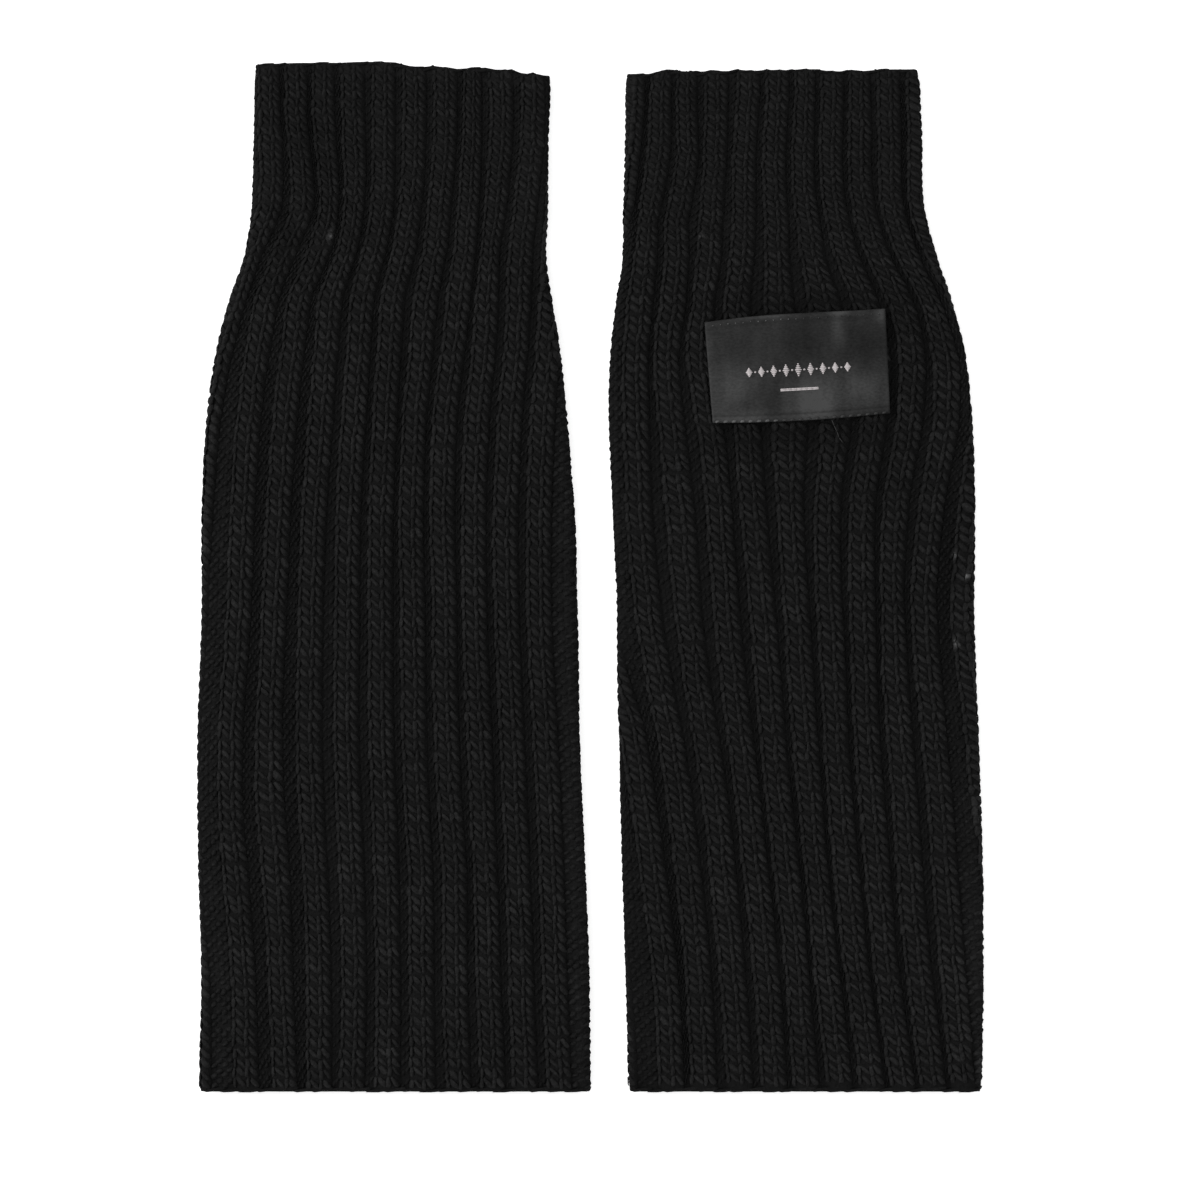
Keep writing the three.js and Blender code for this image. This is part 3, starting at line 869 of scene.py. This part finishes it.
# The label: a strip of woven satin, turned in at the top and bottom and sewn to the right leg. Its corners
# are across and down, and its edges bow out by a little.
LABEL_NODE = "sewn_label"
LABEL_CORNERS = {
    "top_left": (41.8, 95.4),
    "top_right": (108.4, 90.2),
    "low_right": (110.2, 128.8),
    "low_left": (44.8, 132.4),
}
LABEL_SIZE = (67.0, 38.4)
LABEL_GRID = (96, 60)
LABEL_THICKNESS = 0.35
LABEL_RIM = 0.35  # the share of the thickness that is left at its rim
LABEL_SEAT = RIB_RISE + 1.18  # how high its back lies above the floor of the furrows
LABEL_SAG = 0.45  # how far it sinks between two ribs
RIB_HOLD = 0.42  # how far from its middle a rib holds the label up, as a share of the rib's width
TOP_BOW = 1.1
TOP_LEAN = 1.4  # the top bows most left of its middle
LOW_BOW = 0.9
TURN_IN = 2.7
TURN_RISE = 0.15  # how much thicker the label is where it is turned in
TURN_EASE = 0.6
TOP_EASE = 0.7  # over which the top and the bottom are rounded off
SIDE_EASE = 0.5  # and the sides
GROOVE_WIDTH = 0.5  # of the line along each turned-in edge
GROOVE_DEPTH = 0.12
# Painted shade along the grooves of the turned-in edges.
GROOVE_SHADE = 0.35
TOP_GROOVE = 0.4  # the top one's share of the low one
GRIP = 0.25  # how deep the threads on the label reach into it

# The two rows of sewing: the stitches, the first one's place, their pitch, how far they lie in from the
# edge, and how many of them catch the light, which are given painted highlights. An end of thread lies below
# the label.
TOP_SEWING = (23, -30.5, 2.8, 1.9, 12)
LOW_SEWING = (21, -31.5, 3.15, 0.55, 8)
SEWING_SWAY = 0.2
THREAD_END = ((11.4, -19.6), (12.2, -21.8), (13.1, -24.0), (13.8, -26.2), (15.1, -28.2))

# The woven ornament, in millimetres from the label's middle.
LOZENGES = 9
LOZENGE_PITCH = 4.6
LOZENGE_LINES = 7
LOZENGE_HALF_WIDTH = 1.5
LOZENGE_HALF_HEIGHT = 2.4
LOZENGE_TAPER = 0.2  # how much lower each is than the one before it, from the middle out
LINE_END = 0.2
LOZENGE_UP = -1.0
BAR_UPS = (-8.2, -7.7)
BAR_PITCH = 2.0
BAR_HALF_LENGTH = 1.8

# Soft swells and dips of the satin: the middle across and up as shares, the turn, the length, the width
# and the lift.
LABEL_WAVES = (
    (-0.17, 0.25, 5, 0.9, 0.05, -0.22),
    (-0.05, 0.10, -6, 1.1, 0.06, -0.18),
    (0.12, 0.20, 8, 0.8, 0.05, 0.15),
    (0.30, 0.10, 12, 0.9, 0.10, -0.25),
    (-0.36, -0.10, -8, 0.9, 0.12, 0.20),
    (0.02, -0.40, 4, 0.5, 0.16, 0.20),
    (0.40, -0.25, -10, 0.7, 0.10, 0.18),
)
# Painted sheen: where the satin is painted lighter or darker as it would shine more or less: the middle
# across and up as shares, the width, the height, the gain.
LABEL_PAINTED_SHEEN = (
    (-0.38, 0.28, 0.30, 0.40, -0.16),
    (0.04, 0.27, 0.34, 0.46, -0.40),
    (0.00, 0.02, 0.60, 0.30, -0.12),
    (0.23, 0.36, 0.07, 0.34, 0.60),
    (0.38, 0.16, 0.26, 0.60, -0.42),
    (0.47, 0.44, 0.05, 0.12, 1.00),
    (-0.36, -0.14, 0.24, 0.36, 0.65),
    (0.08, -0.35, 0.22, 0.42, 1.10),
    (-0.16, -0.34, 0.10, 0.42, -0.36),
    (0.34, -0.22, 0.36, 0.34, 0.58),
    (-0.32, -0.45, 0.36, 0.12, 0.75),
    (0.42, -0.49, 0.40, 0.06, -0.35),
    (-0.48, 0.10, 0.05, 1.00, 0.25),
    (-0.15, 0.49, 0.26, 0.04, 0.70),
    (0.24, 0.49, 0.12, 0.05, 1.20),
)


def label_place(across, up, lift):
    """A place on the label, across and up as shares of its size from its middle, lifted off its face."""
    u, v = across + 0.5, up + 0.5
    corners = {name: np.array(place) for name, place in LABEL_CORNERS.items()}
    top = corners["top_left"][:, None] * (1 - u) + corners["top_right"][:, None] * u
    low = corners["low_left"][:, None] * (1 - u) + corners["low_right"][:, None] * u
    x, down = top * v + low * (1 - v)
    bow = 4 * u * (1 - u)
    down = down - TOP_BOW * bow * (1 - u) * TOP_LEAN * v + LOW_BOW * bow * (1 - v)
    section = Sections(RIGHT_LEG).at(down)
    along = x - section["middle"]
    ribness = 0
    for k in range(FRONT_RIBS + 1):
        ribness = ribness + np.exp(-((along - rib_at(section, k)) / (section["rib"] * RIB_HOLD)) ** 2)
    swell = 0
    for a, b, turn, length, width, height in LABEL_WAVES:
        t = math.radians(turn)
        dx, dy = across - a, (up - b) * LABEL_SIZE[1] / LABEL_SIZE[0]
        on = (dy * math.cos(t) + dx * math.sin(t)) / (length * LABEL_SIZE[1] / LABEL_SIZE[0] / 2)
        off = (dx * math.cos(t) - dy * math.sin(t)) / (width / 2)
        swell = swell + height * np.exp(-on ** 2 - off ** 2)
    z = 2 * FOLD_RADIUS + LABEL_SEAT - LABEL_SAG * (1 - np.clip(ribness, 0, 1)) + swell + lift
    return in_frame(x, -down, z)


def painted_label_sheen(across, up):
    """How much painted sheen the satin has at a place."""
    tone = 1
    for a, b, width, height, gain in LABEL_PAINTED_SHEEN:
        tone = tone + gain * np.exp(-((across - a) / (width / 2)) ** 2 - ((up - b) / (height / 2)) ** 2)
    return tone


def satin_label(material):
    """The satin strip, thicker where its top and bottom are turned in."""
    bm = bmesh.new()
    layer = bm.verts.layers.float.new("tone")
    bmesh.ops.create_grid(bm, x_segments=LABEL_GRID[0], y_segments=LABEL_GRID[1], size=0.5)
    faces = list(bm.faces)
    made = bmesh.ops.extrude_face_region(bm, geom=faces)
    raised = {v for v in made["geom"] if isinstance(v, bmesh.types.BMVert)}
    across = np.array([v.co.x for v in bm.verts])
    up = np.array([v.co.y for v in bm.verts])
    on_face = np.array([v in raised for v in bm.verts])
    from_edge = (0.5 - np.abs(up)) * LABEL_SIZE[1]
    from_side = (0.5 - np.abs(across)) * LABEL_SIZE[0]
    turned_in = eased((TURN_IN - from_edge) / TURN_EASE + 0.5)
    rounded = eased(from_edge / TOP_EASE) * eased(from_side / SIDE_EASE)
    groove = np.exp(-((from_edge - TURN_IN) / GROOVE_WIDTH) ** 2)
    groove = groove * np.where(up > 0, TOP_GROOVE, 1.0)
    face = LABEL_THICKNESS * (LABEL_RIM + (1 - LABEL_RIM) * rounded)
    face = face + TURN_RISE * turned_in * rounded - GROOVE_DEPTH * groove
    lift = np.where(on_face, face, 0)
    # The painted tone holds the satin's painted sheen, with painted shade along the grooves.
    tone = painted_label_sheen(across, up) * (1 - GROOVE_SHADE * groove)
    for vert, place, painted_sheen in zip(bm.verts, label_place(across, up, lift), tone):
        vert.co = place
        vert[layer] = painted_sheen
    bmesh.ops.recalc_face_normals(bm, faces=bm.faces)
    piece = finished(mesh_of(bm), "satin_label", material)
    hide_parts(LABEL_NODE)
    return piece


def label_strands(name, strands, material, detail=(6, 5)):
    """Threads on the label's face. Each starts and ends across and up, in millimetres from its middle, then
    come half its width, the height of its middle over the face, half its thickness and its tone."""
    bm = bmesh.new()
    tones = []
    for strand in strands:
        before = len(bm.verts)
        spindle(bm, strand, (1, 1), *detail)
        tones += [strand[7]] * (len(bm.verts) - before)
    bmesh.ops.recalc_face_normals(bm, faces=bm.faces)
    flat = np.array([v.co for v in bm.verts])
    height = np.maximum(flat[:, 2], -GRIP) + LABEL_THICKNESS
    places = label_place(flat[:, 0] / LABEL_SIZE[0], flat[:, 1] / LABEL_SIZE[1], height)
    for vert, place in zip(bm.verts, places):
        vert.co = place
    mesh = mesh_of(bm)
    toned(mesh, np.array(tones, float))
    return finished(mesh, name, material)


def sewing():
    """The stitches along the top and bottom of the label, and the end of thread below it."""
    draw = np.random.RandomState(5)
    strands = []
    stitches, first, pitch, inset, lit = TOP_SEWING
    for i in range(stitches):
        x = first + pitch * i
        # Painted highlights on the stitches that catch the light; the rest are painted darker.
        tone = draw.uniform(0.4, 1.0) * (1.0 if i < lit else 0.35)
        y = LABEL_SIZE[1] / 2 - inset + draw.uniform(-SEWING_SWAY, SEWING_SWAY)
        strands.append((x - 0.45, y, x + 0.45, y + 0.1, 0.28, 0.25, 0.3, tone))
    stitches, first, pitch, inset, lit = LOW_SEWING
    for i in range(stitches):
        x = first + pitch * i
        tone = draw.uniform(0.7, 1.0) * (0.9 if i < lit else 0.3)
        y = -LABEL_SIZE[1] / 2 + inset
        strands.append((x - 1.2, y - 0.25, x + 0.9, y + 0.25, 0.5, 0.3, 0.4, tone))
    for start, end in zip(THREAD_END[:-1], THREAD_END[1:]):
        strands.append((*start, *end, 0.18, 0.2, 0.18, 0.2))
    return strands


def motif():
    """A plain woven ornament in flat threads: a row of small lozenges with dots between them, over a bar."""
    strands = []
    outermost = LOZENGES // 2
    for i in range(-outermost, outermost + 1):
        x = LOZENGE_PITCH * i
        half_height = LOZENGE_HALF_HEIGHT - LOZENGE_TAPER * abs(i)
        for j in range(LOZENGE_LINES):
            t = (j + 0.5) / LOZENGE_LINES * 2 - 1
            reach = (1 - abs(t)) * LOZENGE_HALF_WIDTH + LINE_END
            y = t * half_height + LOZENGE_UP
            strands.append((x - reach, y, x + reach, y, 0.32, 0.3, 0.25, 0.9))
    for i in range(-outermost, outermost):
        x = LOZENGE_PITCH * (i + 0.5)
        strands.append((x - 0.5, LOZENGE_UP, x + 0.5, LOZENGE_UP, 0.36, 0.3, 0.25, 0.8))
    for y in BAR_UPS:
        for i in range(-3, 4):
            x = BAR_PITCH * i
            strands.append((x - BAR_HALF_LENGTH, y, x + BAR_HALF_LENGTH, y, 0.26, 0.25, 0.22, 0.8))
    return strands


def label():
    """The label with its sewing and its woven ornament."""
    sheet = satin_label(satin_material())
    grey = thread_material("grey_thread", (0.02,) * 3, (0.19,) * 3)
    sewn = label_strands("label_stitching", sewing(), grey)
    pale = thread_material("pale_thread", (0.30, 0.28, 0.28), (0.70, 0.65, 0.655))
    woven = label_strands("label_ornament", motif(), pale)


def floor_and_light():
    """A plain white table, with soft light from all sides and a little more from the left."""
    bm = bmesh.new()
    bmesh.ops.create_grid(bm, x_segments=1, y_segments=1, size=6)
    table = bpy.data.objects.new("table", mesh_of(bm))
    table.location.z = -0.0002
    bpy.context.scene.collection.objects.link(table)
    material = bpy.data.materials.new("table_white")
    material.use_nodes = True
    shader = material.node_tree.nodes["Principled BSDF"]
    shader.inputs["Base Color"].default_value = (0.85, 0.85, 0.85, 1)
    shader.inputs["Roughness"].default_value = 0.9
    shader.inputs["Specular IOR Level"].default_value = 0.1
    shader.inputs["Emission Color"].default_value = (1, 1, 1, 1)
    shader.inputs["Emission Strength"].default_value = 0.55
    table.data.materials.append(material)

    world = bpy.data.worlds.new("studio")
    bpy.context.scene.world = world
    world.use_nodes = True
    background = world.node_tree.nodes["Background"]
    background.inputs["Color"].default_value = (1, 1, 1, 1)
    background.inputs["Strength"].default_value = 0.66

    for name, place, size, power in (
        ("left_window", (-1.5, 0.4, 1.1), 0.8, 26),
        ("right_fill", (1.4, -0.2, 1.5), 1.2, 6),
    ):
        light = bpy.data.lights.new(name, "AREA")
        light.size = size
        light.energy = power
        lamp = bpy.data.objects.new(name, light)
        lamp.location = place
        lamp.rotation_euler = (-Vector(place)).to_track_quat("-Z", "Y").to_euler()
        bpy.context.scene.collection.objects.link(lamp)


def camera():
    """Straight above, far off, with the frame 444 mm wide and the pair a little above its middle."""
    frame_width = 0.444
    distance = 1.9
    data = bpy.data.cameras.new("camera")
    data.sensor_width = 36
    data.lens = data.sensor_width * distance / frame_width
    view = bpy.data.objects.new("camera", data)
    view.location = (0.0033, -0.0090, distance)
    bpy.context.scene.collection.objects.link(view)
    bpy.context.scene.camera = view


camera()
floor_and_light()
yarn = yarn_material()
leg_warmer(LEFT_LEG, yarn, 11)
leg_warmer(RIGHT_LEG, yarn, 31)
label()

bpy.context.scene.view_settings.view_transform = "Standard"
bpy.context.scene.view_settings.look = "None"
